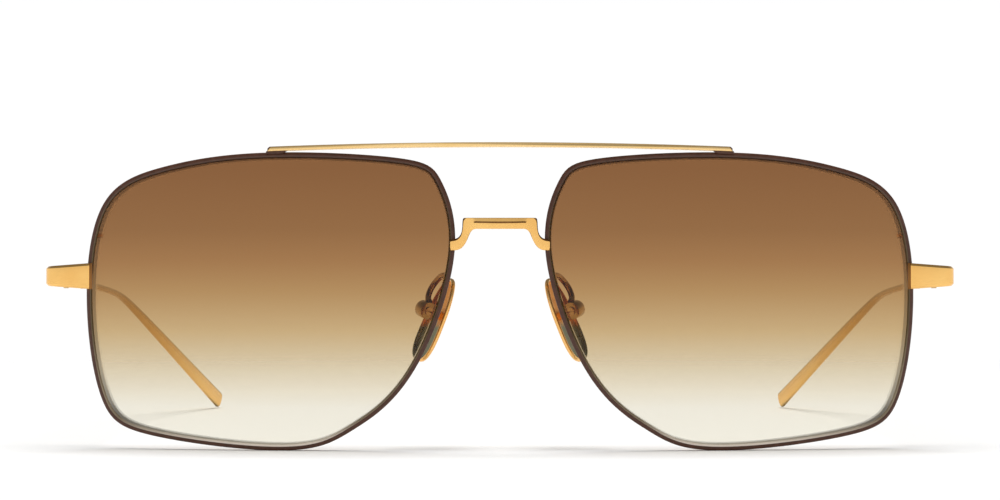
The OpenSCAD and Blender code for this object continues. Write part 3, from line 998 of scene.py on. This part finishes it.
def pad_lug_piece():
    """Stem and eye on the back of the pad, which the pad screw passes through."""
    outline = [(0.4, PAD_PIN_UP - 0.7), (0.8, PAD_PIN_UP - 0.55), (1.6, PAD_PIN_UP - 0.5)]
    for k in range(25):
        turn = math.radians(-145 + 290 * k / 24)
        outline.append((PAD_REACH + PAD_EYE_RADIUS * math.cos(turn),
                        PAD_PIN_UP + PAD_EYE_RADIUS * math.sin(turn)))
    outline += [(1.6, PAD_PIN_UP + 0.5), (0.8, PAD_PIN_UP + 0.55), (0.4, PAD_PIN_UP + 0.7)]
    across = (AT_PAD.to_3x3() @ Vector((0, 1.4, 0)))
    piece = plate("nose_pad_right_lug", outline, lambda x, z: AT_PAD @ Vector((x, -0.7, z)), across)
    finish_with(piece, pad_gold)
    soften(piece, 0.08)
    return piece


WIRE_RADIUS, WIRE_END_FLARE, WIRE_STEPS, WIRE_SIDES = 0.5, 0.12, 48, 16
ARM_PATH = [
    (8.5, 2.85, 28.6), (9.15, 4.7, 28.6), (9.8, 6.8, 28.4), (10.7, 8.3, 27.5), (11.5, 8.7, 26.3),
    (11.9, 8.2, 25.1), (11.8, 7.45, 24.2),
]


def path_point(path, t):
    last = len(path) - 1
    i = min(int(t), last - 1)
    f = t - i
    b, c = path[i], path[i + 1]
    a = path[i - 1] if i > 0 else 2 * b - c
    d = path[i + 2] if i < last - 1 else 2 * c - b
    return (2 * b + (c - a) * f + (2 * a - 5 * b + 4 * c - d) * f * f
            + (3 * b - a - 3 * c + d) * f ** 3) / 2


def pad_arm_piece():
    """Round wire from the back of the rim to the pad box, a little thicker at the box."""
    path = [Vector((x, FRONT_Y + y, z)) for x, y, z in ARM_PATH]
    last = len(path) - 1
    rings = []
    for r in range(WIRE_STEPS + 1):
        t = last * r / WIRE_STEPS
        here = path_point(path, t)
        along = (path_point(path, min(t + 0.01, last)) - path_point(path, max(t - 0.01, 0)))
        along.normalize()
        side = along.cross(Vector((0.3, 0.2, 1))).normalized()
        up = side.cross(along)
        radius = WIRE_RADIUS + WIRE_END_FLARE * max(0, 1 - (WIRE_STEPS - r) / 5)
        rings.append([here + radius * (math.cos(a) * side + math.sin(a) * up)
                      for a in (math.tau * k / WIRE_SIDES for k in range(WIRE_SIDES))])
    piece = open_sweep("pad_arm_right_wire", rings)
    finish_with(piece, box_gold)
    smooth(piece, 50)
    return piece


def make_nose_pads():
    pad = pad_piece()
    hand_over_pair(pad, "nose_pad_right_body", "gold_metal", "nose_pad_right")
    lug = pad_lug_piece()
    hand_over_pair(lug, "nose_pad_right_body", "gold_metal", "nose_pad_right")
    hand_over_pair(pad_arm_piece(), "front", "gold_metal", "pad_arm_right")


make_rims_and_lenses()
make_bridge_and_bar()
make_end_pieces_and_hinges()
make_temples()
make_nose_pads()

# ---------------------------------------------------------------- studio

CAMERA_DISTANCE, CAMERA_HEIGHT = 366.1, 26.2
CAMERA_TILT, CAMERA_LENS = 1.015, 81.25
FLOOR_RADIUS, FLOOR_FADE = 1.1, (0.16, 0.5)


def make_stage():
    deselect()
    bpy.ops.mesh.primitive_circle_add(vertices=96, radius=FLOOR_RADIUS, fill_type="NGON")
    floor = named("studio_floor")
    board = new_board("studio_floor_white")
    away = board.node("ShaderNodeVectorMath", {"operation": "LENGTH"}, board.place(), out=1)
    white = board.surface(Base_Color=rgb(0.93, 0.93, 0.925), Roughness=0.8,
                          Specular_IOR_Level=0.1, Alpha=1 - away.between(*FLOOR_FADE))
    floor.data.materials.append(white)


def soft_light(light_name, place, look_at, size, power, colour=(1, 1, 1)):
    data = bpy.data.lights.new(light_name, "AREA")
    data.shape = "RECTANGLE"
    data.size, data.size_y = size
    data.energy = power
    data.color = colour
    lamp = bpy.data.objects.new(light_name, data)
    bpy.context.collection.objects.link(lamp)
    lamp.location = place
    lamp.visible_glossy = False
    lamp.rotation_euler = (Vector(look_at) - Vector(place)).to_track_quat("-Z", "Y").to_euler()


def make_world():
    """Surroundings: white from below up to the horizon, falling to a dim grey overhead."""
    world = bpy.data.worlds.new("studio")
    bpy.context.scene.world = world
    board = Board(world, "ShaderNodeOutputWorld")
    direction = board.node("ShaderNodeTexCoord", {}, out=0)
    height = board.node("ShaderNodeSeparateXYZ", {}, direction, out=2).between(-1.0, 1.0)
    levels = [(0.0, 1.02), (0.56, 1.02), (0.62, 0.7), (0.72, 0.36), (0.85, 0.2), (1.0, 0.24)]
    stops = [(position, rgb(level, level, level)) for position, level in levels]
    light = board.node("ShaderNodeValToRGB", {"stops": stops}, height)
    board.finish(board.node("ShaderNodeBackground", {}, Color=light))


def make_camera():
    data = bpy.data.cameras.new("camera")
    data.sensor_width = 36.0
    data.lens = CAMERA_LENS
    data.clip_start = 0.01
    camera = bpy.data.objects.new("camera", data)
    bpy.context.collection.objects.link(camera)
    camera.location = (0.0, (FRONT_Y - CAMERA_DISTANCE) * MM, CAMERA_HEIGHT * MM)
    camera.rotation_euler = (math.radians(90 + CAMERA_TILT), 0, 0)
    bpy.context.scene.camera = camera
    bpy.context.scene.view_settings.view_transform = "Standard"


make_stage()
make_world()
soft_light("overhead", (0.0, 0.05, 1.6), (0, 0, 0), (1.0, 1.0), 25)
make_camera()

# The CAD nodes behind the worked pieces get a matching finish.
for node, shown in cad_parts.items():
    kind = node.replace("_left", "").replace("_right", "")
    material = {"lens": lens_tint, "closing_screw": screw_metal, "hinge_screw": screw_metal,
                "pad_screw": screw_metal, "bar_pad": enamel, "nose_pad": pad_gold}.get(kind, gold)
    finish_with(shown, material)
